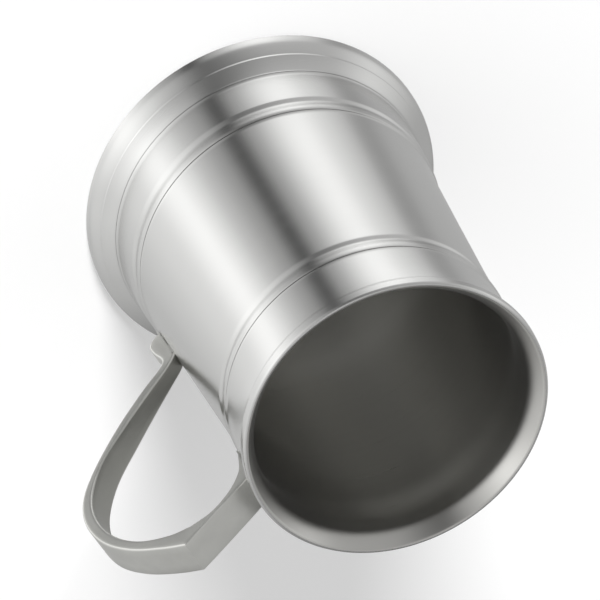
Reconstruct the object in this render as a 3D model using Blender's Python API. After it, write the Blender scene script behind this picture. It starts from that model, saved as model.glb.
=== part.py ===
"""Pewter tankard: a spun drum on a flared foot, closed by a soldered base disc, with a cast strap handle.

Frame: the origin is on the drum's axis, in the plane that the foot stands on. +Z runs up the axis to the
mouth, and the handle lies in the X-Z plane on the +X side. Lengths are in metres.
"""

import math

import bmesh
import bpy
from mathutils import Vector

# Driving dimensions
HEIGHT = 0.121  # foot plane to the top of the rim
FOOT_RADIUS = 0.0524  # outer edge of the foot, at the table
RIM_RADIUS = 0.0438  # outer edge of the flared lip
WALL = 0.0014  # thickness of the drum's sheet
FIT_GAP = 0.0003  # clearance between pieces that meet
SEGMENTS = 72  # facets round the axis

# Foot and base
FOOT_HEIGHT = 0.0107  # up to the seam with the drum
FOOT_CORNER = 0.0003  # chamfer of the edge that stands on the table
FOOT_EDGE = 0.0016  # height of the foot's upright edge
FILLET_Z = (0.0064, 0.0069)  # bottom and top of the narrow fillet between the foot's two curves
FILLET_RADIUS = 0.0500
COVE_STEP = 0.0001  # the foot's cove starts this far inside the fillet
COVE_POWER = 1.45  # how quickly the foot's cove turns upright
FOOT_TOP_RADIUS = 0.0468
FOOT_STEPS = 6
FOOT_LAND_INNER = 0.0480  # inner edge of the flat ring that stands on the table
LAND_RISE = 0.0004  # how far above the base disc's underside the foot's bore begins
DRUM_FOOT_RADIUS = 0.0456  # the drum's wall where it stands inside the foot
BASE_RECESS = 0.0008  # the base disc's underside is this far above the table
BASE_THICKNESS = 0.0015
BASE_EDGE = 0.00025  # height of the base disc's upright edge, above its chamfer

# Drum: the outer wall's radius at a few heights, joined by a smooth curve
WALL_STATIONS = (
    (0.0110, 0.0464),  # just above the foot's seam
    (0.0230, 0.04605),  # where the lower bead starts
    (0.0318, 0.04500),  # and where it ends
    (0.0370, 0.0445),
    (0.0520, 0.0436),
    (0.0720, 0.0425),
    (0.0900, 0.0416),
    (0.1030, 0.0415),  # the narrowest place, under the lip
    (0.1110, 0.0420),
    (HEIGHT, RIM_RADIUS),
)
SEAM_FILLET = (0.0014, 0.00035)  # height and width of the wall's own fillet above the foot

# Beads: each starts at a height and is a pattern drawn at its own size. Rises are from the plain wall.
BEADS = ((0.02265, 0.96), (0.0907, 1.03))
COVE = (0.00125, 0.00320, -0.00055)  # the pattern's cove: start, bottom and rise at the bottom
CROWN = (0.0066, 0.00032)  # the highest place of the bead: where, and how high
CLIMB_EASE = 0.4  # how far the climb to the crown departs from a straight slope
SHOULDER = (0.0077, 0.00012)  # the edge where the crown falls into the groove
GROOVE = ((0.00776, -0.00040), (0.00811, -0.00040))  # floor of the groove
BEAD_FILLET = (0.00818, 0.00022)  # the groove's other edge, where a fillet runs out to the wall
BEAD_LENGTH = 0.0094
BEAD_STEPS = 4
WALL_STEPS = 6  # steps along the plain wall below each bead

# Lip: the wall swells outwards, turns up into a narrow band, and curves inwards to a throat
LIP_SWELL = (0.1160, 0.1187, 0.0004)  # bottom, top and added radius
LIP_LEAN = 0.0001  # how far the band leans back towards the axis
LIP_CORNER = 0.0008  # radius of the lip's outer corner
LIP_ROUND = 0.0010  # radius of the turn from the lip's top into its throat
THROAT = (0.0052, math.radians(40), 2)  # the curve inside the lip: depth, tilt at the top, how late it turns
THROAT_BLEND = 0.016  # height over which the wall below the throat thins to the sheet
LIP_STEPS = 4
THROAT_STEPS = 6
INNER_WALL_START = 0.014  # the inner wall is straight below here
INNER_WALL_STEPS = 12

# Handle: stations from the upper joint round to the tail. Each is an inner point, an outer point (x, z) and
# half the strap's width. The outer side is straight up to the thumb ridge and a curve after it.
FACET_STATIONS = (
    ((0.0385, 0.0960), (0.0380, 0.1108), 0.0056),
    ((0.0416, 0.1012), (0.0425, 0.1126), 0.0056),
    ((0.0436, 0.1078), (0.0470, 0.1144), 0.0056),
    ((0.0486, 0.1130), (0.0530, 0.1167), 0.0056),
    ((0.0555, 0.1161), (0.0595, 0.1193), 0.0056),
    ((0.0625, 0.1164), (0.0663, 0.1220), 0.0056),
)
BOW_STATIONS = (
    ((0.0625, 0.1164), (0.0663, 0.1220), 0.0056),  # thumb ridge
    ((0.0690, 0.1146), (0.0725, 0.1177), 0.0056),
    ((0.0770, 0.1093), (0.0803, 0.1107), 0.0055),
    ((0.0826, 0.1010), (0.0862, 0.1015), 0.0055),
    ((0.0846, 0.0905), (0.0882, 0.0905), 0.0054),  # widest reach of the bow
    ((0.0826, 0.0808), (0.0858, 0.0804), 0.0053),
    ((0.0760, 0.0706), (0.0790, 0.0713), 0.0050),
    ((0.0660, 0.0620), (0.0687, 0.0610), 0.0044),
    ((0.0560, 0.0542), (0.0577, 0.0520), 0.0036),
    ((0.0490, 0.0490), (0.0510, 0.0473), 0.0030),
    ((0.0450, 0.0457), (0.0486, 0.0451), 0.0028),  # the tail leaves the arm
    ((0.0430, 0.0430), (0.0482, 0.0430), 0.0027),
    ((0.0415, 0.0392), (0.0493, 0.0390), 0.0026),
    ((0.0410, 0.0360), (0.0495, 0.0355), 0.0025),
    ((0.0400, 0.0335), (0.0478, 0.0332), 0.0024),
    ((0.0395, 0.0315), (0.0440, 0.0315), 0.0023),  # end of the tail, against the drum
)
STRAP_STEPS = 4  # lofted sections from one station to the next
STRAP_CHAMFER = 0.0005

# Soldered joints of the handle: a thin pad on the drum under each end of the strap
SOLDER = 0.0004
PAD_MARGIN = 0.0004
PAD_STEPS = (4, 6)  # facets across a pad and up it
UPPER_PAD = (0.1010, 0.1126, 0.0056)  # bottom, top, half width of the strap there
LOWER_PAD = (0.0318, 0.0438, 0.0027)
SOLDER_FILLET = 0.0012  # legs of the solder fillet round the base disc
SOLDER_HOLLOW = 0.42  # how far out the fillet's face stands at its middle, as a share of its legs

SHARP_ANGLE = math.radians(35)  # edges that turn more than this are shaded as creases
WELD = 1e-6  # points closer than this are one
PEWTER = (0.60, 0.60, 0.58)
CAST_PEWTER = (0.50, 0.50, 0.48)
SOLDER_GREY = (0.66, 0.66, 0.65)
SPUN_ROUGHNESS = 0.28
TURNED_ROUGHNESS = 0.30
BASE_ROUGHNESS = 0.35
CAST_ROUGHNESS = 0.45
SOLDER_ROUGHNESS = 0.4


def clear_scene():
    for old in list(bpy.data.objects):
        bpy.data.objects.remove(old, do_unlink=True)


def metal(name, colour, roughness):
    material = bpy.data.materials.new(name)
    material.use_nodes = True
    shader = material.node_tree.nodes["Principled BSDF"]
    shader.inputs["Base Color"].default_value = (*colour, 1.0)
    shader.inputs["Metallic"].default_value = 1.0
    shader.inputs["Roughness"].default_value = roughness
    return material


def finish_mesh(name, bm, material):
    """Turns a bmesh into a named object with outward faces, smooth across its shallow edges."""
    bmesh.ops.recalc_face_normals(bm, faces=bm.faces)
    mesh = bpy.data.meshes.new(name)
    bm.to_mesh(mesh)
    bm.free()
    mesh.materials.append(material)
    mesh.shade_smooth()
    mesh.set_sharp_from_angle(angle=SHARP_ANGLE)
    made = bpy.data.objects.new(name, mesh)
    bpy.context.scene.collection.objects.link(made)
    return made


def turned(name, profile, material):
    """Spins a closed outline of (radius, height) points round the Z axis."""
    bm = bmesh.new()
    points = [bm.verts.new((radius, 0.0, height)) for radius, height in profile]
    edges = [bm.edges.new((a, b)) for a, b in zip(points, points[1:] + points[:1])]
    bmesh.ops.spin(
        bm,
        geom=points + edges,
        cent=(0, 0, 0),
        axis=(0, 0, 1),
        angle=2 * math.pi,
        steps=SEGMENTS,
        use_merge=True,
    )
    bmesh.ops.remove_doubles(bm, verts=bm.verts, dist=WELD)
    return finish_mesh(name, bm, material)


def smooth_through(points, t):
    """The Catmull-Rom curve through points, where t counts them: 0 is the first and 1 the second."""
    i = min(int(t), len(points) - 2)
    u = t - i
    a, b = points[i], points[i + 1]
    before = points[i - 1] if i else 2 * a - b
    after = points[i + 2] if i + 2 < len(points) else 2 * b - a
    slope_a, slope_b = (b - before) / 2, (after - a) / 2
    return (
        a * (2 * u**3 - 3 * u**2 + 1)
        + slope_a * (u**3 - 2 * u**2 + u)
        + b * (3 * u**2 - 2 * u**3)
        + slope_b * (u**3 - u**2)
    )


def wall_radius(z):
    """Outer radius of the drum's wall at height z, without its beads."""
    heights = [station[0] for station in WALL_STATIONS]
    i = max(k for k, height in enumerate(heights[:-1]) if height <= z or k == 0)
    here, there = WALL_STATIONS[i], WALL_STATIONS[i + 1]

    def slope(k):
        low, high = WALL_STATIONS[max(k - 1, 0)], WALL_STATIONS[min(k + 1, len(heights) - 1)]
        return (high[1] - low[1]) / (high[0] - low[0])

    span = there[0] - here[0]
    u = (z - here[0]) / span
    return (
        here[1] * (2 * u**3 - 3 * u**2 + 1)
        + slope(i) * span * (u**3 - 2 * u**2 + u)
        + there[1] * (3 * u**2 - 2 * u**3)
        + slope(i + 1) * span * (u**3 - u**2)
    )


def steps_between(low, high, count):
    return [low + (high - low) * i / count for i in range(count + 1)]


def smoothstep(low, high, x):
    u = min(1.0, max(0.0, (x - low) / (high - low)))
    return u * u * (3 - 2 * u)


def bead_pattern():
    """One bead as (distance up the wall, rise) pairs: a cove, a crown, a fine groove and a fillet."""
    start, bottom, depth = COVE
    top, height = CROWN
    edge, shoulder = SHOULDER
    foot, ledge = BEAD_FILLET
    cove = [(s, depth * smoothstep(start, bottom, s)) for s in steps_between(start, bottom, BEAD_STEPS)]
    climb = [
        (bottom + (top - bottom) * u, depth + (height - depth) * (u + CLIMB_EASE * (smoothstep(0, 1, u) - u)))
        for u in steps_between(0, 1, BEAD_STEPS)
    ]
    fall = [
        (s, height + (shoulder - height) * ((s - top) / (edge - top)) ** 2)
        for s in steps_between(top, edge, BEAD_STEPS // 2)
    ]
    fillet = [
        (s, ledge * (1 - (s - foot) / (BEAD_LENGTH - foot)) ** 2)
        for s in steps_between(foot, BEAD_LENGTH, BEAD_STEPS // 2)
    ]
    return cove + climb[1:] + fall[1:] + list(GROOVE) + fillet


def outer_wall(bottom, top):
    """The drum's outer outline, upwards: the fillet over its foot, the beads and the lip's swell."""
    height, width = SEAM_FILLET
    outline = [
        (wall_radius(z) + width * (1 - (z - bottom) / height) ** 2, z)
        for z in steps_between(bottom, bottom + height, BEAD_STEPS // 2)
    ]
    reached = bottom + height
    for start, size in BEADS:
        bead = [(start + s * size, rise * size) for s, rise in bead_pattern()]
        outline += [(wall_radius(z), z) for z in steps_between(reached, bead[0][0], WALL_STEPS)[1:-1]]
        outline += [(wall_radius(z) + rise, z) for z, rise in bead]
        reached = bead[-1][0]
    low, high, swell = LIP_SWELL
    outline += [(wall_radius(z), z) for z in steps_between(reached, low, WALL_STEPS)[1:-1]]
    outline += [
        (wall_radius(z) + swell * smoothstep(low, high, z), z) for z in steps_between(low, high, LIP_STEPS)
    ]
    return [*outline, (outline[-1][0] - LIP_LEAN, top)]


def lip_outline(radius):
    """From the lip's outer corner over its top and down into the throat."""
    depth, tilt, lateness = THROAT
    top = radius - LIP_CORNER
    corner = [
        (top + LIP_CORNER * math.cos(a), HEIGHT - LIP_CORNER + LIP_CORNER * math.sin(a))
        for a in steps_between(0, math.pi / 2, LIP_STEPS)[1:]
    ]
    turn = [
        (top - LIP_ROUND * math.sin(a), HEIGHT - LIP_ROUND + LIP_ROUND * math.cos(a))
        for a in steps_between(0, math.pi / 2 - tilt, LIP_STEPS)[1:]
    ]
    edge, height = turn[-1]
    throat = [
        (edge - depth * math.tan(tilt) * (u - u ** (lateness + 1) / (lateness + 1)), height - depth * u)
        for u in steps_between(0, 1, THROAT_STEPS)[1:]
    ]
    return corner + turn + throat


def make_drum(material):
    bottom = BASE_RECESS + BASE_THICKNESS + FIT_GAP
    shoulder = WALL_STATIONS[0][0]
    neck = [(DRUM_FOOT_RADIUS, bottom), (DRUM_FOOT_RADIUS, shoulder)]
    outside = neck + outer_wall(shoulder, HEIGHT - LIP_CORNER)
    lip = lip_outline(outside[-1][0])
    throat, height = lip[-1]
    thicker = wall_radius(height) - WALL - throat
    inside = [
        (wall_radius(z) - WALL - thicker * smoothstep(height - THROAT_BLEND, height, z), z)
        for z in steps_between(height, INNER_WALL_START, INNER_WALL_STEPS)[1:]
    ]
    inside.append((DRUM_FOOT_RADIUS - WALL, bottom))
    return turned("drum", outside + lip + inside, material)


def make_foot(material):
    """The cast foot: an upright edge, a swelling curve, a narrow fillet and a cove up to the drum."""
    bore = DRUM_FOOT_RADIUS + FIT_GAP
    low, high = FILLET_Z
    cove_edge = FILLET_RADIUS - COVE_STEP
    swelling = [
        (FOOT_RADIUS - (FOOT_RADIUS - FILLET_RADIUS) * u**2, FOOT_EDGE + (low - FOOT_EDGE) * u)
        for u in steps_between(0, 1, FOOT_STEPS)
    ]
    cove = [
        (
            FOOT_TOP_RADIUS + (cove_edge - FOOT_TOP_RADIUS) * (1 - u) ** COVE_POWER,
            high + (FOOT_HEIGHT - high) * u,
        )
        for u in steps_between(0, 1, FOOT_STEPS)
    ]
    land = [
        (bore, BASE_RECESS + LAND_RISE),
        (FOOT_LAND_INNER, 0.0),
        (FOOT_RADIUS - FOOT_CORNER, 0.0),
        (FOOT_RADIUS, FOOT_CORNER),
    ]
    return turned("foot_ring", land + swelling + cove + [(bore, FOOT_HEIGHT)], material)


def make_base(material):
    low, high = BASE_RECESS, BASE_RECESS + BASE_THICKNESS
    profile = [
        (0.0, low),
        (DRUM_FOOT_RADIUS - SOLDER_FILLET - FIT_GAP, low),
        (DRUM_FOOT_RADIUS, high - BASE_EDGE),
        (DRUM_FOOT_RADIUS, high),
        (0.0, high),
    ]
    return turned("base_disc", profile, material)


def make_floor_solder(material):
    """The fillet inside the cup, in the corner of the drum and the base disc."""
    floor = BASE_RECESS + BASE_THICKNESS + FIT_GAP
    wall = DRUM_FOOT_RADIUS - WALL - FIT_GAP
    middle = SOLDER_FILLET * SOLDER_HOLLOW
    profile = [
        (wall, floor),
        (wall, floor + SOLDER_FILLET),
        (wall - middle, floor + middle),
        (wall - SOLDER_FILLET, floor),
    ]
    return turned("floor_solder", profile, material)


def strap_section(inner, outer, half_width):
    """One section of the strap: a rectangle from inner to outer with its four corners chamfered."""
    chamfer = (outer - inner).normalized() * STRAP_CHAMFER
    narrow = half_width - STRAP_CHAMFER
    corners = ((inner, narrow), (inner + chamfer, half_width), (outer - chamfer, half_width), (outer, narrow))
    one_side = [(point.x, y, point.y) for point, y in corners]
    other_side = [(x, -y, z) for x, y, z in reversed(one_side)]
    return one_side + other_side


def strap_stations(stations):
    inner = [Vector(station[0]) for station in stations]
    outer = [Vector(station[1]) for station in stations]
    width = [Vector((station[2], 0.0)) for station in stations]
    count = (len(stations) - 1) * STRAP_STEPS
    for k in range(count + 1):
        t = k / STRAP_STEPS
        yield smooth_through(inner, t), smooth_through(outer, t), smooth_through(width, t).x


def drum_envelope(margin):
    """A solid plug of the drum's outside grown by margin, which trims the strap's ends."""
    shoulder = WALL_STATIONS[0][0]
    outline = [(radius + margin, z) for radius, z in outer_wall(shoulder, HEIGHT)]
    outline = [(0.0, shoulder), *outline, (0.0, HEIGHT)]
    plug = turned("drum_envelope", outline, metal("guide", PEWTER, CAST_ROUGHNESS))
    plug.hide_render = True
    plug.display_type = "WIRE"
    return plug


def make_handle(material):
    bm = bmesh.new()
    sections = [*strap_stations(FACET_STATIONS)] + [*strap_stations(BOW_STATIONS)][1:]
    rings = [[bm.verts.new(point) for point in strap_section(*section)] for section in sections]
    for ring, following in zip(rings, rings[1:]):
        for k in range(len(ring)):
            j = (k + 1) % len(ring)
            bm.faces.new((ring[k], ring[j], following[j], following[k]))
    bm.faces.new(rings[0])
    bm.faces.new(rings[-1][::-1])
    handle = finish_mesh("handle", bm, material)
    trim = handle.modifiers.new("trim_to_drum", "BOOLEAN")
    trim.operation = "DIFFERENCE"
    trim.object = drum_envelope(FIT_GAP + SOLDER + FIT_GAP)
    return handle


def make_pad(name, bottom, top, half_width, material):
    """A thin layer of solder that follows the drum under one end of the strap."""
    across, along = PAD_STEPS
    reach = half_width + PAD_MARGIN
    bm = bmesh.new()
    layers = []
    for margin in (FIT_GAP, FIT_GAP + SOLDER):
        grid = []
        for z in steps_between(bottom, top, along):
            radius = wall_radius(z) + margin
            turns = [y / wall_radius(z) for y in steps_between(-reach, reach, across)]
            grid.append([bm.verts.new((radius * math.cos(a), radius * math.sin(a), z)) for a in turns])
        layers.append(grid)
    back, front = layers
    for i in range(along):
        for j in range(across):
            for grid in layers:
                bm.faces.new((grid[i][j], grid[i][j + 1], grid[i + 1][j + 1], grid[i + 1][j]))
    border = [(0, j) for j in range(across)] + [(i, across) for i in range(along)]
    border += [(along, j) for j in range(across, 0, -1)] + [(i, 0) for i in range(along, 0, -1)]
    for (i, j), (k, m) in zip(border, border[1:] + border[:1]):
        bm.faces.new((back[i][j], back[k][m], front[k][m], front[i][j]))
    return finish_mesh(name, bm, material)


def main():
    clear_scene()
    make_drum(metal("spun_pewter", PEWTER, SPUN_ROUGHNESS))
    make_foot(metal("turned_pewter", PEWTER, TURNED_ROUGHNESS))
    make_base(metal("base_pewter", PEWTER, BASE_ROUGHNESS))
    make_floor_solder(metal("floor_solder", SOLDER_GREY, SOLDER_ROUGHNESS))
    make_handle(metal("cast_pewter", CAST_PEWTER, CAST_ROUGHNESS))
    make_pad("upper_solder", *UPPER_PAD, metal("upper_solder", SOLDER_GREY, SOLDER_ROUGHNESS))
    make_pad("lower_solder", *LOWER_PAD, metal("lower_solder", SOLDER_GREY, SOLDER_ROUGHNESS))


main()
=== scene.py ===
"""Looks of the pewter tankard: fine meshes, pewter finishes, a pale floor, soft light and a camera.

Frame: the origin is on the drum's axis in the plane that the foot stands on, +Z runs up to the mouth, and the
handle lies in the X-Z plane on the +X side. Lengths are in metres.
"""

import math

import bmesh
import bpy
from mathutils import Matrix, Vector


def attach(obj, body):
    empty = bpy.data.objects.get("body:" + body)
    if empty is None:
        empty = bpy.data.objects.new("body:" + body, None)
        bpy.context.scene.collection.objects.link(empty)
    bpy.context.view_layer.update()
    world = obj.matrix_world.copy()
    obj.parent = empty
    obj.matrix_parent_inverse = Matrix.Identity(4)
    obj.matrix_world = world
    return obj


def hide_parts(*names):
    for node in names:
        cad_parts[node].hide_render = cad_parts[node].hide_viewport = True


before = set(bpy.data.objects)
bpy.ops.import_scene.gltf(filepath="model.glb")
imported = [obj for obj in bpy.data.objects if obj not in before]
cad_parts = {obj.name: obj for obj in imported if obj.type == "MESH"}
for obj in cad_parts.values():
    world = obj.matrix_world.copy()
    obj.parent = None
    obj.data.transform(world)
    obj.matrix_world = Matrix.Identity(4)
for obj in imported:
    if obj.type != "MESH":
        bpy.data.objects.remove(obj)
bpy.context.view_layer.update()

# Driving dimensions, as in the CAD model
HEIGHT = 0.121
FOOT_RADIUS = 0.0524
RIM_RADIUS = 0.0438
WALL = 0.0014
SEGMENTS = 288  # facets round the axis
PIECE_GAP = 0.00002  # air between pieces that meet

FOOT_HEIGHT = 0.01085
FOOT_CORNER = 0.0003
FOOT_EDGE = 0.0016  # height of the foot's upright edge
FILLET_Z = (0.0064, 0.0069)  # bottom and top of the fillet between the foot's two curves
FILLET_RADIUS = 0.0500
COVE_STEP = 0.0001
COVE_POWER = 1.45
FOOT_TOP_RADIUS = 0.0468
FOOT_STEPS = 24
FOOT_CORNER_STEPS = 5
FOOT_LAND_INNER = 0.0480
LAND_RISE = 0.0004
DRUM_FOOT_RADIUS = 0.0456
BASE_RECESS = 0.0008
BASE_THICKNESS = 0.0015
BASE_CHAMFER = (0.0012, 0.0009)  # width and height of the base disc's chamfer
BASE_STEPS = 20
FLOOR_SOLDER = (0.0014, 0.0002)  # size of the fillet inside the cup, and how far it sinks into its neighbours
FLOOR_SOLDER_STEPS = 8

WALL_STATIONS = (
    (0.0110, 0.0464),  # just above the foot's seam
    (0.0230, 0.04605),  # where the lower bead starts
    (0.0318, 0.04500),  # and where it ends
    (0.0370, 0.0445),
    (0.0520, 0.0436),
    (0.0720, 0.0425),
    (0.0900, 0.0416),
    (0.1030, 0.0415),  # the narrowest place, under the lip
    (0.1110, 0.0420),
    (HEIGHT, RIM_RADIUS),
)
SEAM_FILLET = (0.0014, 0.00035)  # height and width of the wall's fillet above the foot
SEAM_STEPS = 8
WALL_STEPS = 24  # steps along the plain wall below each bead
NECK_STEPS = 12  # and between the upper bead and the lip's swell

# Beads: each starts at a height and is a pattern drawn at its own size. Rises are from the plain wall.
BEADS = ((0.02265, 0.96), (0.0907, 1.03))
COVE = (0.00125, 0.00320, -0.00055)  # the pattern's cove: start, bottom and rise at the bottom
CROWN = (0.0066, 0.00032)  # the highest place of the bead: where, and how high
CLIMB_EASE = 0.4  # how far the climb to the crown departs from a straight slope
SHOULDER = (0.0077, 0.00012)  # the edge where the crown falls into the groove
GROOVE = ((0.00776, -0.00040), (0.00811, -0.00040))  # floor of the groove
BEAD_FILLET = (0.00818, 0.00022)  # the groove's other edge, where a fillet runs out to the wall
BEAD_LENGTH = 0.0094
BEAD_STEPS = 16

LIP_SWELL = (0.1160, 0.1187, 0.0004)  # bottom, top and added radius
LIP_LEAN = 0.0001  # how far the lip's band leans back towards the axis
LIP_CORNER = 0.0008  # radius of the lip's outer corner
LIP_ROUND = 0.0010  # radius of the turn from the lip's top into its throat
THROAT = (0.0052, math.radians(40), 2)  # the curve inside the lip: depth, tilt at the top, how late it turns
THROAT_BLEND = 0.016  # height over which the wall below the throat thins to the sheet
LIP_STEPS = 10
INNER_WALL_START = 0.014
INNER_WALL_STEPS = 48

FACET_STATIONS = (
    ((0.0385, 0.0960), (0.0380, 0.1108), 0.0056),
    ((0.0416, 0.1012), (0.0425, 0.1126), 0.0056),
    ((0.0436, 0.1078), (0.0470, 0.1144), 0.0056),
    ((0.0486, 0.1130), (0.0530, 0.1167), 0.0056),
    ((0.0555, 0.1161), (0.0595, 0.1193), 0.0056),
    ((0.0625, 0.1164), (0.0663, 0.1220), 0.0056),
)
BOW_STATIONS = (
    ((0.0625, 0.1164), (0.0663, 0.1220), 0.0056),  # thumb ridge
    ((0.0690, 0.1146), (0.0725, 0.1177), 0.0056),
    ((0.0770, 0.1093), (0.0803, 0.1107), 0.0055),
    ((0.0826, 0.1010), (0.0862, 0.1015), 0.0055),
    ((0.0846, 0.0905), (0.0882, 0.0905), 0.0054),  # widest reach of the bow
    ((0.0826, 0.0808), (0.0858, 0.0804), 0.0053),
    ((0.0760, 0.0706), (0.0790, 0.0713), 0.0050),
    ((0.0660, 0.0620), (0.0687, 0.0610), 0.0044),
    ((0.0560, 0.0542), (0.0577, 0.0520), 0.0036),
    ((0.0490, 0.0490), (0.0510, 0.0473), 0.0030),
    ((0.0450, 0.0457), (0.0486, 0.0451), 0.0028),  # the tail leaves the arm
    ((0.0430, 0.0430), (0.0482, 0.0430), 0.0027),
    ((0.0415, 0.0392), (0.0493, 0.0390), 0.0026),
    ((0.0410, 0.0360), (0.0495, 0.0355), 0.0025),
    ((0.0400, 0.0335), (0.0478, 0.0332), 0.0024),
    ((0.0395, 0.0315), (0.0440, 0.0315), 0.0023),  # end of the tail, against the drum
)
STRAP_STEPS = 8
STRAP_ROUNDING = 0.0006
ROUNDING_SHARE = 0.45  # a rounding is never more than this share of the strap's thickness
CORNER_STEPS = 4
FACE_STEPS = 4  # strips across each flat face of the strap
# The strips of a section that make up the strap's inner face, which takes a darker copy of the cast pewter as
# painted shade
INNER_FACE = (2 * (CORNER_STEPS + FACE_STEPS) + CORNER_STEPS, 3 * (CORNER_STEPS + FACE_STEPS))

PLUG_DEPTH = 0.0005  # how far the strap's ends sink into the drum
PLUG_STEPS = 60

ON_AXIS = 1e-6  # a smaller radius is a single point
TURNED_CREASE = 18  # degrees beyond which an edge is shaded as a crease
CAST_CREASE = 28

PAINTED_HIGHLIGHT = (0.72, 0.72, 0.71)  # colour of the painted highlight on the turned edges, standing in for the light they catch
FILLET_PAINTED_HIGHLIGHT = ((0.00665, 0.00033),)  # height and half width of the painted highlight band on the foot's fillet
ANISOTROPY = 0.75
LINE_DEPTH = 0.000002  # depth of the lathe's lines
LINE_SCALE = (14, 14, 9000)  # noise along the two level axes and up Z, for the lines
BAND_SCALE = (9, 9, 420)  # for the broader bands
CLOUD_SCALE = (60, 60, 60)
CAST_GRAIN_SCALE = (5000, 5000, 5000)
CAST_CLOUD_SCALE = (160, 160, 160)
CAST_GRAIN_DEPTH = 0.00002

# Camera: the point it looks at, its direction from there, its roll, and its distance
CAMERA_AIM = (0.00567, -0.00373, 0.05739)
CAMERA_AZIMUTH = -3.39  # degrees from -Y towards +X
CAMERA_ELEVATION = 52.44
CAMERA_ROLL = 149.09
CAMERA_DISTANCE = 1.3998
CAMERA_LENS = 300

# Soft light round the object: (turn, brightness) pairs. A turn is an angle in degrees from the camera's side
# towards the handle, taken about an upright line behind the axis, so that from the camera each upright strip
# of a wall keeps one brightness whatever its tilt. The low ring lights the upright walls, and the high ring
# lights the flares and the lip.
LOW_RING = (
    (-180, 0.25), (-112, 0.42), (-90, 0.53), (-72, 0.56), (-60, 0.53), (-50, 0.43), (-44, 0.72),
    (-32, 1.22), (-25, 1.50), (-18, 1.22), (-12, 0.73), (-7, 0.42), (-2, 0.08), (4, 0.42), (8, 0.57),
    (16, 0.96), (22, 1.36), (27, 1.52), (36, 1.15), (48, 0.96), (64, 0.74), (80, 0.64), (92, 0.55),
    (115, 0.30), (180, 0.25),
)
HIGH_RING = (
    (-180, 0.25), (-112, 0.55), (-88, 0.60), (-68, 0.98), (-60, 0.94), (-50, 0.67), (-25, 0.58),
    (-16, 0.38), (-8, 0.21), (-4, 0.19), (0, 0.32), (4, 0.57), (12, 0.89), (20, 1.33), (27, 1.60),
    (34, 1.40), (46, 1.03), (60, 0.93), (80, 0.72), (92, 0.62), (115, 0.35), (180, 0.25),
)
RING_AZIMUTH = -3.0  # the turn's zero, in degrees from -Y towards +X
RING_SHIFT = 0.61  # how far behind the axis the rings' centre line is, as a share of a unit direction
RING_PEAK = 2.0  # the brightest value a ring can have
# Heights of a direction, from -1 straight down to 1 straight up, between which one light passes into the next
LOW_TO_HIGH = (-0.57, -0.25)
HIGH_FADE = (0.3, 0.8, 0.80)  # the high ring dims between these heights, to this share
HIGH_TO_OVERHEAD = (0.78, 0.99)
OVERHEAD = 0.65  # brightness of the sky above the rings
KEY_DIRECTION = (0.40, 0.917, -0.50)  # the way the key light shines
KEY_SOFTNESS = math.radians(20)
KEY_STRENGTH = 3.4

FLOOR_RADIUS = 6.0
FLOOR_DROP = 0.0002  # the floor lies this far under the foot
FLOOR_COLOUR = (0.88, 0.88, 0.88, 1.0)
FLOOR_ROUGHNESS = 0.9
FLOOR_SPECULAR = 0.1
FLOOR_GLOW = 0.05
BACKDROP_RADIUS = 5.5


def smooth_through(points, t):
    """The Catmull-Rom curve through points, where t counts them: 0 is the first and 1 the second."""
    i = min(int(t), len(points) - 2)
    u = t - i
    a, b = points[i], points[i + 1]
    before = points[i - 1] if i else 2 * a - b
    after = points[i + 2] if i + 2 < len(points) else 2 * b - a
    slope_a, slope_b = (b - before) / 2, (after - a) / 2
    return (
        a * (2 * u**3 - 3 * u**2 + 1)
        + slope_a * (u**3 - 2 * u**2 + u)
        + b * (3 * u**2 - 2 * u**3)
        + slope_b * (u**3 - u**2)
    )


def wall_radius(z):
    """Outer radius of the drum's wall at height z, without its beads."""
    heights = [station[0] for station in WALL_STATIONS]
    i = max(k for k, height in enumerate(heights[:-1]) if height <= z or k == 0)
    here, there = WALL_STATIONS[i], WALL_STATIONS[i + 1]

    def slope(k):
        low, high = WALL_STATIONS[max(k - 1, 0)], WALL_STATIONS[min(k + 1, len(heights) - 1)]
        return (high[1] - low[1]) / (high[0] - low[0])

    span = there[0] - here[0]
    u = (z - here[0]) / span
    return (
        here[1] * (2 * u**3 - 3 * u**2 + 1)
        + slope(i) * span * (u**3 - 2 * u**2 + u)
        + there[1] * (3 * u**2 - 2 * u**3)
        + slope(i + 1) * span * (u**3 - u**2)
    )


def steps_between(low, high, count):
    return [low + (high - low) * i / count for i in range(count + 1)]


def smoothstep(low, high, x):
    u = min(1.0, max(0.0, (x - low) / (high - low)))
    return u * u * (3 - 2 * u)


def bead_pattern():
    """One bead as (distance up the wall, rise) pairs: a cove, a crown, a fine groove and a fillet."""
    start, bottom, depth = COVE
    top, height = CROWN
    edge, shoulder = SHOULDER
    foot, ledge = BEAD_FILLET
    cove = [(s, depth * smoothstep(start, bottom, s)) for s in steps_between(start, bottom, BEAD_STEPS)]
    climb = [
        (bottom + (top - bottom) * u, depth + (height - depth) * (u + CLIMB_EASE * (smoothstep(0, 1, u) - u)))
        for u in steps_between(0, 1, BEAD_STEPS)
    ]
    fall = [
        (s, height + (shoulder - height) * ((s - top) / (edge - top)) ** 2)
        for s in steps_between(top, edge, BEAD_STEPS // 2)
    ]
    fillet = [
        (s, ledge * (1 - (s - foot) / (BEAD_LENGTH - foot)) ** 2)
        for s in steps_between(foot, BEAD_LENGTH, BEAD_STEPS // 2)
    ]
    return cove + climb[1:] + fall[1:] + list(GROOVE) + fillet


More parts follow.
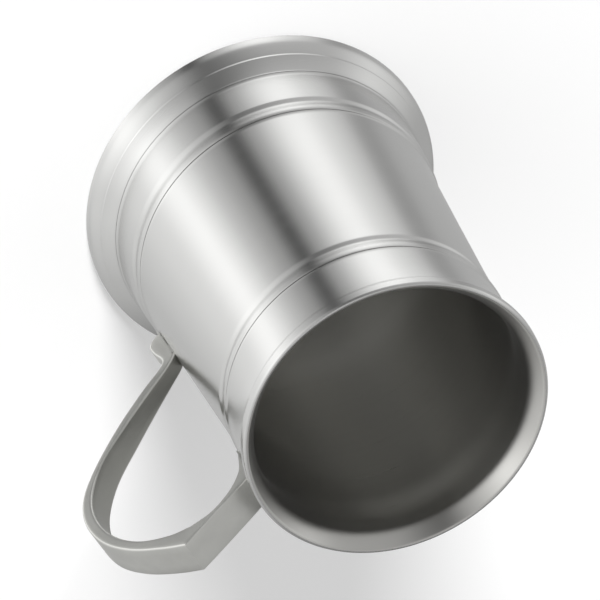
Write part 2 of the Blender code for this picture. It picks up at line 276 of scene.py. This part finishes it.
def outer_wall(bottom, top):
    """The drum's outer outline: the fillet above its foot, the beads and the lip's swell."""
    height, width = SEAM_FILLET
    outline = [
        (wall_radius(z) + width * (1 - (z - bottom) / height) ** 2, z)
        for z in steps_between(bottom, bottom + height, SEAM_STEPS)
    ]
    reached = bottom + height
    for start, size in BEADS:
        bead = [(start + s * size, rise * size) for s, rise in bead_pattern()]
        outline += [(wall_radius(z), z) for z in steps_between(reached, bead[0][0], WALL_STEPS)[1:-1]]
        outline += [(wall_radius(z) + rise, z) for z, rise in bead]
        reached = bead[-1][0]
    low, high, swell = LIP_SWELL
    outline += [(wall_radius(z), z) for z in steps_between(reached, low, NECK_STEPS)[1:-1]]
    outline += [
        (wall_radius(z) + swell * smoothstep(low, high, z), z) for z in steps_between(low, high, LIP_STEPS)
    ]
    return [*outline, (outline[-1][0] - LIP_LEAN, top)]


def lip_outline(radius):
    """From the lip's outer corner over its top and down into the throat."""
    depth, tilt, lateness = THROAT
    top = radius - LIP_CORNER
    corner = [
        (top + LIP_CORNER * math.cos(a), HEIGHT - LIP_CORNER + LIP_CORNER * math.sin(a))
        for a in steps_between(0, math.pi / 2, LIP_STEPS)[1:]
    ]
    turn = [
        (top - LIP_ROUND * math.sin(a), HEIGHT - LIP_ROUND + LIP_ROUND * math.cos(a))
        for a in steps_between(0, math.pi / 2 - tilt, LIP_STEPS)[1:]
    ]
    edge, height = turn[-1]
    throat = [
        (edge - depth * math.tan(tilt) * (u - u ** (lateness + 1) / (lateness + 1)), height - depth * u)
        for u in steps_between(0, 1, 2 * LIP_STEPS)[1:]
    ]
    return corner + turn + throat


def turned(name, profile, materials, inner_from=None):
    """Spins a closed outline of (radius, height) points round Z.

    Faces from point inner_from on get the second material.
    """
    bm = bmesh.new()
    rings = []
    for radius, z in profile:
        if radius < ON_AXIS:
            rings.append([bm.verts.new((0, 0, z))])
            continue
        turns = [2 * math.pi * k / SEGMENTS for k in range(SEGMENTS)]
        rings.append([bm.verts.new((radius * math.cos(a), radius * math.sin(a), z)) for a in turns])
    pairs = list(zip(rings, rings[1:] + rings[:1]))
    for i, (ring, following) in enumerate(pairs):
        if len(ring) == 1 and len(following) == 1:
            continue
        for k in range(SEGMENTS):
            j = (k + 1) % SEGMENTS
            if len(ring) == 1:
                corners = (ring[0], following[j], following[k])
            elif len(following) == 1:
                corners = (ring[k], ring[j], following[0])
            else:
                corners = (ring[k], ring[j], following[j], following[k])
            face = bm.faces.new(corners)
            if inner_from is not None and i >= inner_from:
                face.material_index = 1
    return finish_mesh(name, bm, materials)


def finish_mesh(name, bm, materials, sharp=TURNED_CREASE):
    bmesh.ops.recalc_face_normals(bm, faces=bm.faces)
    mesh = bpy.data.meshes.new(name)
    bm.to_mesh(mesh)
    bm.free()
    for material in materials:
        mesh.materials.append(material)
    mesh.shade_smooth()
    mesh.set_sharp_from_angle(angle=math.radians(sharp))
    made = bpy.data.objects.new(name, mesh)
    bpy.context.scene.collection.objects.link(made)
    return made


def stand_for(piece, node):
    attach(piece, "root")
    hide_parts(node)


def make_drum(outside_metal, inside_metal):
    bottom = BASE_RECESS + BASE_THICKNESS + PIECE_GAP
    shoulder = WALL_STATIONS[0][0]
    neck = [(DRUM_FOOT_RADIUS, bottom), (DRUM_FOOT_RADIUS, shoulder)]
    outside = neck + outer_wall(shoulder, HEIGHT - LIP_CORNER)
    lip = lip_outline(outside[-1][0])
    throat, height = lip[-1]
    thicker = wall_radius(height) - WALL - throat
    inside = [
        (wall_radius(z) - WALL - thicker * smoothstep(height - THROAT_BLEND, height, z), z)
        for z in steps_between(height, INNER_WALL_START, INNER_WALL_STEPS)[1:]
    ]
    inside.append((DRUM_FOOT_RADIUS - WALL, bottom))
    inner_from = len(outside) + LIP_STEPS
    drum = turned("spun_drum", outside + lip + inside, [outside_metal, inside_metal], inner_from)
    stand_for(drum, "drum")
    return drum


def make_foot(metal):
    """The foot: an upright edge, a swelling curve, a fine fillet and a cove that runs up to the drum."""
    bore = DRUM_FOOT_RADIUS + PIECE_GAP
    low, high = FILLET_Z
    cove_edge = FILLET_RADIUS - COVE_STEP
    corner = [
        (FOOT_RADIUS - FOOT_CORNER + FOOT_CORNER * math.sin(a), FOOT_CORNER - FOOT_CORNER * math.cos(a))
        for a in steps_between(0, math.pi / 2, FOOT_CORNER_STEPS)
    ]
    swelling = [
        (FOOT_RADIUS - (FOOT_RADIUS - FILLET_RADIUS) * u**2, FOOT_EDGE + (low - FOOT_EDGE) * u)
        for u in steps_between(0, 1, FOOT_STEPS)
    ]
    cove = [
        (
            FOOT_TOP_RADIUS + (cove_edge - FOOT_TOP_RADIUS) * (1 - u) ** COVE_POWER,
            high + (FOOT_HEIGHT - high) * u,
        )
        for u in steps_between(0, 1, FOOT_STEPS)
    ]
    land = [(bore, BASE_RECESS + LAND_RISE), (FOOT_LAND_INNER, 0.0)]
    foot = turned("foot_flare", land + corner + swelling + cove + [(bore, FOOT_HEIGHT)], [metal])
    stand_for(foot, "foot_ring")
    return foot


def make_base(metal):
    low, high = BASE_RECESS, BASE_RECESS + BASE_THICKNESS
    width, rise = BASE_CHAMFER
    underside = [(u * (DRUM_FOOT_RADIUS - width), low) for u in steps_between(0, 1, BASE_STEPS)]
    profile = underside + [(DRUM_FOOT_RADIUS, low + rise), (DRUM_FOOT_RADIUS, high), (0.0, high)]
    base = turned("base_plate", profile, [metal])
    stand_for(base, "base_disc")
    return base


def make_floor_solder(metal):
    floor = BASE_RECESS + BASE_THICKNESS
    wall = DRUM_FOOT_RADIUS - WALL
    size, sunk = FLOOR_SOLDER
    arc = [
        (wall - size + size * math.sin(a), floor + size - size * math.cos(a))
        for a in steps_between(0, math.pi / 2, FLOOR_SOLDER_STEPS)
    ]
    back = [(wall + sunk, floor + size), (wall + sunk, floor - sunk), (wall - size, floor - sunk)]
    piece = turned("floor_fillet", arc + back, [metal])
    stand_for(piece, "floor_solder")
    return piece


def section_points(inner, outer, half_width, rounding=STRAP_ROUNDING):
    """One section of the strap: a rectangle from inner to outer with its corners rounded."""
    along = (outer - inner).normalized()
    thick = (outer - inner).length
    r = min(rounding, ROUNDING_SHARE * thick)
    outline = []
    corners = ((1, 1), (-1, 1), (-1, -1), (1, -1))  # across, then along the thickness
    for index, (across, through) in enumerate(corners):
        for k in range(CORNER_STEPS + 1):
            a = math.pi / 2 * (index + k / CORNER_STEPS)
            w = across * (half_width - r) + r * math.cos(a)
            t = thick / 2 + through * (thick / 2 - r) + r * math.sin(a)
            outline.append((w, t))
        after = corners[(index + 1) % 4]
        last = outline[-1]
        first = (after[0] * (half_width - r) + r * math.cos(math.pi / 2 * (index + 1)),
                 thick / 2 + after[1] * (thick / 2 - r) + r * math.sin(math.pi / 2 * (index + 1)))
        for f in steps_between(0, 1, FACE_STEPS)[1:-1]:
            outline.append((last[0] + (first[0] - last[0]) * f, last[1] + (first[1] - last[1]) * f))
    return [Vector((inner.x + along.x * t, w, inner.y + along.y * t)) for w, t in outline]


def strap_stations(stations):
    inner = [Vector(station[0]) for station in stations]
    outer = [Vector(station[1]) for station in stations]
    width = [Vector((station[2], 0.0)) for station in stations]
    count = (len(stations) - 1) * STRAP_STEPS
    for k in range(count + 1):
        t = k / STRAP_STEPS
        yield smooth_through(inner, t), smooth_through(outer, t), smooth_through(width, t).x


def drum_plug(depth):
    """A solid of the drum's outside, depth inside its surface, which trims the strap's ends."""
    shoulder = WALL_STATIONS[0][0]
    outline = [(wall_radius(z) - depth, z) for z in steps_between(shoulder, HEIGHT, PLUG_STEPS)]
    return turned("drum_plug", [(0.0, shoulder), *outline, (0.0, HEIGHT)], [])


def make_handle(metal, painted_shade_metal):
    bm = bmesh.new()
    sections = [*strap_stations(FACET_STATIONS)] + [*strap_stations(BOW_STATIONS)][1:]
    rings = [[bm.verts.new(point) for point in section_points(*section)] for section in sections]
    for ring, following in zip(rings, rings[1:]):
        for k in range(len(ring)):
            j = (k + 1) % len(ring)
            face = bm.faces.new((ring[k], ring[j], following[j], following[k]))
            # the inner face takes the darker copy of the cast pewter: painted shade
            face.material_index = 1 if INNER_FACE[0] <= k < INNER_FACE[1] else 0
    bm.faces.new(rings[0][::-1])
    bm.faces.new(rings[-1])
    rough = finish_mesh("handle_loft", bm, [metal, painted_shade_metal], sharp=CAST_CREASE)
    plug = drum_plug(PLUG_DEPTH)
    trim = rough.modifiers.new("trim", "BOOLEAN")
    trim.operation = "DIFFERENCE"
    trim.object = plug
    evaluated = rough.evaluated_get(bpy.context.evaluated_depsgraph_get())
    mesh = bpy.data.meshes.new_from_object(evaluated)
    mesh.name = "strap_handle"
    handle = bpy.data.objects.new("strap_handle", mesh)
    bpy.context.scene.collection.objects.link(handle)
    for helper in (rough, plug):
        bpy.data.objects.remove(helper, do_unlink=True)
    stand_for(handle, "handle")
    return handle


def add(tree, kind, inputs=None, **settings):
    """Adds a node. An input is given as a constant or as the socket that feeds it."""
    node = tree.nodes.new(kind)
    for key, value in settings.items():
        setattr(node, key, value)
    for key, value in (inputs or {}).items():
        if isinstance(value, bpy.types.NodeSocket):
            tree.links.new(value, node.inputs[key])
        else:
            node.inputs[key].default_value = value
    return node


def new_metal(name):
    material = bpy.data.materials.new(name)
    material.use_nodes = True
    return material, material.node_tree, material.node_tree.nodes["Principled BSDF"]


def stretched_noise(tree, scale, detail=4.0, roughness=0.6, size=1.0):
    """Noise over the object's own coordinates, each axis scaled by its own number."""
    where = add(tree, "ShaderNodeTexCoord")
    mapped = add(tree, "ShaderNodeMapping", {"Vector": where.outputs["Object"], "Scale": scale})
    return add(
        tree, "ShaderNodeTexNoise",
        {"Vector": mapped.outputs["Vector"], "Scale": size, "Detail": detail, "Roughness": roughness},
    ).outputs["Fac"]


def between(tree, factor, low, high, clamp=True):
    return add(
        tree, "ShaderNodeMapRange", {"Value": factor, "To Min": low, "To Max": high}, clamp=clamp
    ).outputs["Result"]


def mixed(tree, factor, a, b, blend="MIX"):
    node = add(tree, "ShaderNodeMix", data_type="RGBA", blend_type=blend)
    sockets = {"Factor": node.inputs[0], "A": node.inputs[6], "B": node.inputs[7]}
    for key, value in (("Factor", factor), ("A", a), ("B", b)):
        if isinstance(value, bpy.types.NodeSocket):
            tree.links.new(value, sockets[key])
        else:
            sockets[key].default_value = value if key == "Factor" else (*value, 1.0)
    return node.outputs[2]


def painted_highlight_mask(tree, bands):
    """1 in the middle of each (height, half width) band of painted highlight round the axis, and 0 outside
    them.
    """
    where = add(tree, "ShaderNodeTexCoord")
    axes = add(tree, "ShaderNodeSeparateXYZ", {0: where.outputs["Object"]})
    mask = None
    for height, reach in bands:
        offset = add(tree, "ShaderNodeMath", {0: axes.outputs["Z"], 1: height}, operation="SUBTRACT")
        away = add(tree, "ShaderNodeMath", {0: offset.outputs[0]}, operation="ABSOLUTE")
        band = add(
            tree, "ShaderNodeMapRange",
            {"Value": away.outputs[0], "From Min": reach / 3, "From Max": reach, "To Min": 1.0, "To Max": 0.0},
            interpolation_type="SMOOTHSTEP",
        ).outputs["Result"]
        if mask is None:
            mask = band
        else:
            mask = add(tree, "ShaderNodeMath", {0: mask, 1: band}, operation="MAXIMUM").outputs[0]
    return mask


def spun_metal(name, dark, light, roughness, highlight_bands=()):
    """Pewter turned on a lathe: fine lines round the axis, and a painted highlight as a brighter colour on the
    given bands.
    """
    material, tree, shader = new_metal(name)
    fine = stretched_noise(tree, LINE_SCALE, detail=3.0)
    broad = stretched_noise(tree, BAND_SCALE, detail=4.0)
    cloud = stretched_noise(tree, CLOUD_SCALE, detail=5.0)
    shade = add(tree, "ShaderNodeMath", {0: fine, 1: broad}, operation="MULTIPLY")
    tone = mixed(tree, between(tree, broad, 0.0, 1.0), dark, light)
    if highlight_bands:
        # painted highlight: the given bands take a brighter colour
        tone = mixed(tree, painted_highlight_mask(tree, highlight_bands), tone, PAINTED_HIGHLIGHT)
    shader.inputs["Metallic"].default_value = 1.0
    tree.links.new(tone, shader.inputs["Base Color"])
    rough = add(
        tree, "ShaderNodeMapRange",
        {
            "Value": shade.outputs[0], "From Min": 0.1, "From Max": 0.45,
            "To Min": roughness - 0.015, "To Max": roughness + 0.025,
        },
    )
    drift = between(tree, cloud, -0.015, 0.015)
    cloudy = add(tree, "ShaderNodeMath", {0: drift, 1: rough.outputs["Result"]}, operation="ADD")
    tree.links.new(cloudy.outputs[0], shader.inputs["Roughness"])
    shader.inputs["Anisotropic"].default_value = ANISOTROPY
    shader.inputs["Anisotropic Rotation"].default_value = 0.25
    tangent = add(tree, "ShaderNodeTangent", direction_type="RADIAL", axis="Z")
    tree.links.new(tangent.outputs[0], shader.inputs["Tangent"])
    bump = add(tree, "ShaderNodeBump", {"Strength": 0.35, "Distance": LINE_DEPTH, "Height": fine})
    tree.links.new(bump.outputs["Normal"], shader.inputs["Normal"])
    return material


def cast_metal(name, dark, light, roughness):
    """Cast pewter with a fine blasted surface."""
    material, tree, shader = new_metal(name)
    grain = stretched_noise(tree, CAST_GRAIN_SCALE, detail=3.0)
    cloud = stretched_noise(tree, CAST_CLOUD_SCALE, detail=5.0)
    tone = mixed(tree, cloud, dark, light)
    shader.inputs["Metallic"].default_value = 1.0
    tree.links.new(tone, shader.inputs["Base Color"])
    tree.links.new(between(tree, cloud, roughness - 0.06, roughness + 0.06), shader.inputs["Roughness"])
    bump = add(tree, "ShaderNodeBump", {"Strength": 0.5, "Distance": CAST_GRAIN_DEPTH, "Height": grain})
    tree.links.new(bump.outputs["Normal"], shader.inputs["Normal"])
    return material


def make_camera():
    azimuth, elevation = math.radians(CAMERA_AZIMUTH), math.radians(CAMERA_ELEVATION)
    level = math.cos(elevation)
    back = Vector((math.sin(azimuth) * level, -math.cos(azimuth) * level, math.sin(elevation)))
    camera = bpy.data.objects.new("camera", bpy.data.cameras.new("camera"))
    camera.data.lens = CAMERA_LENS
    place = Matrix.Translation(Vector(CAMERA_AIM) + back * CAMERA_DISTANCE)
    facing = back.to_track_quat("Z", "Y").to_matrix().to_4x4()
    camera.matrix_world = place @ facing @ Matrix.Rotation(math.radians(CAMERA_ROLL), 4, "Z")
    bpy.context.scene.collection.objects.link(camera)
    bpy.context.scene.camera = camera


def ring_ramp(tree, turn, stops):
    ramp = add(tree, "ShaderNodeValToRGB", {"Fac": turn})
    ramp.color_ramp.interpolation = "CARDINAL"
    elements = ramp.color_ramp.elements
    elements.remove(elements[1])
    for index, (angle, brightness) in enumerate(stops):
        position = angle / 360 + 0.5
        element = elements.new(position) if index else elements[0]
        element.position = position
        value = brightness / RING_PEAK
        element.color = (value, value, value, 1.0)
    return ramp.outputs["Color"]


def make_world():
    world = bpy.data.worlds.new("studio")
    world.use_nodes = True
    bpy.context.scene.world = world
    tree = world.node_tree
    where = add(tree, "ShaderNodeTexCoord")
    turned_world = add(
        tree, "ShaderNodeMapping",
        {"Vector": where.outputs["Generated"], "Rotation": (0, 0, math.radians(-RING_AZIMUTH))},
        vector_type="POINT",
    )
    axes = add(tree, "ShaderNodeSeparateXYZ", {0: turned_world.outputs["Vector"]})
    towards = add(
        tree, "ShaderNodeMath", {0: axes.outputs["Y"], 1: -1.0, 2: RING_SHIFT}, operation="MULTIPLY_ADD"
    )
    angle = add(tree, "ShaderNodeMath", {0: axes.outputs["X"], 1: towards.outputs[0]}, operation="ARCTAN2")
    turn = add(
        tree, "ShaderNodeMath", {0: angle.outputs[0], 1: 1 / (2 * math.pi), 2: 0.5}, operation="MULTIPLY_ADD"
    )
    low = ring_ramp(tree, turn.outputs[0], LOW_RING)
    high = ring_ramp(tree, turn.outputs[0], HIGH_RING)
    height = add(
        tree, "ShaderNodeMapRange",
        {"Value": axes.outputs["Z"], "From Min": LOW_TO_HIGH[0], "From Max": LOW_TO_HIGH[1]},
        interpolation_type="SMOOTHSTEP",
    )
    fade = add(
        tree, "ShaderNodeMapRange",
        {
            "Value": axes.outputs["Z"], "From Min": HIGH_FADE[0], "From Max": HIGH_FADE[1],
            "To Min": 1.0, "To Max": HIGH_FADE[2],
        },
    )
    top = add(
        tree, "ShaderNodeMapRange",
        {"Value": axes.outputs["Z"], "From Min": HIGH_TO_OVERHEAD[0], "From Max": HIGH_TO_OVERHEAD[1]},
        interpolation_type="SMOOTHSTEP",
    )
    dimmed = add(tree, "ShaderNodeVectorMath", {0: high, "Scale": fade.outputs["Result"]}, operation="SCALE")
    sides = mixed(tree, height.outputs["Result"], low, dimmed.outputs[0])
    sky = OVERHEAD / RING_PEAK
    everywhere = mixed(tree, top.outputs["Result"], sides, (sky, sky, sky))
    background = tree.nodes["Background"]
    tree.links.new(everywhere, background.inputs["Color"])
    background.inputs["Strength"].default_value = RING_PEAK


def make_floor():
    bm = bmesh.new()
    bmesh.ops.create_circle(bm, cap_ends=True, radius=FLOOR_RADIUS, segments=96)
    material = bpy.data.materials.new("pale_floor")
    material.use_nodes = True
    shader = material.node_tree.nodes["Principled BSDF"]
    shader.inputs["Base Color"].default_value = FLOOR_COLOUR
    shader.inputs["Roughness"].default_value = FLOOR_ROUGHNESS
    shader.inputs["Specular IOR Level"].default_value = FLOOR_SPECULAR
    shader.inputs["Emission Color"].default_value = (1, 1, 1, 1)
    shader.inputs["Emission Strength"].default_value = FLOOR_GLOW
    floor = finish_mesh("floor", bm, [material])
    floor.location.z = -FLOOR_DROP
    floor.visible_glossy = False
    floor.visible_diffuse = False
    floor.visible_shadow = False

    bm = bmesh.new()
    bmesh.ops.create_uvsphere(bm, u_segments=64, v_segments=32, radius=BACKDROP_RADIUS)
    wall = bpy.data.materials.new("pale_backdrop")
    wall.use_nodes = True
    tree = wall.node_tree
    glow = add(tree, "ShaderNodeEmission", {"Color": (1, 1, 1, 1), "Strength": 1.0})
    tree.links.new(glow.outputs[0], tree.nodes["Material Output"].inputs["Surface"])
    backdrop = finish_mesh("backdrop", bm, [wall])
    for kind in ("diffuse", "glossy", "transmission", "volume_scatter", "shadow"):
        setattr(backdrop, "visible_" + kind, False)


def make_key_light():
    """A soft light from the camera's left that only the floor takes up, for the shadow under the handle."""
    light = bpy.data.lights.new("key", "SUN")
    light.energy = KEY_STRENGTH
    light.angle = KEY_SOFTNESS
    key = bpy.data.objects.new("key", light)
    key.rotation_euler = Vector(KEY_DIRECTION).to_track_quat("-Z", "Y").to_euler()
    key.visible_glossy = False
    bpy.context.scene.collection.objects.link(key)


def main():
    make_camera()
    make_world()
    make_key_light()
    make_floor()
    bpy.context.scene.view_settings.view_transform = "Standard"
    outside = spun_metal("spun_pewter", (0.615, 0.615, 0.605), (0.635, 0.635, 0.625), 0.24)
    inside = spun_metal("inner_pewter", (0.55, 0.545, 0.525), (0.58, 0.575, 0.555), 0.29)
    # the foot's fillet takes a band of painted highlight
    foot = spun_metal("turned_pewter", (0.62, 0.62, 0.61), (0.64, 0.64, 0.63), 0.25, FILLET_PAINTED_HIGHLIGHT)
    base = spun_metal("base_pewter", (0.52, 0.52, 0.50), (0.60, 0.60, 0.58), 0.34)
    cast = cast_metal("cast_pewter", (0.56, 0.56, 0.535), (0.68, 0.68, 0.65), 0.36)
    # a darker copy of the cast pewter for the strap's inner face: painted shade
    cast_painted_shade = cast_metal("cast_pewter_painted_shade", (0.36, 0.36, 0.335), (0.44, 0.44, 0.41), 0.36)
    solder = cast_metal("solder", (0.52, 0.52, 0.50), (0.66, 0.66, 0.64), 0.38)
    make_drum(outside, inside)
    make_foot(foot)
    make_base(base)
    make_floor_solder(solder)
    make_handle(cast, cast_painted_shade)
    for node in ("upper_solder", "lower_solder"):
        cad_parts[node].data.materials.clear()
        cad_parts[node].data.materials.append(solder)


main()
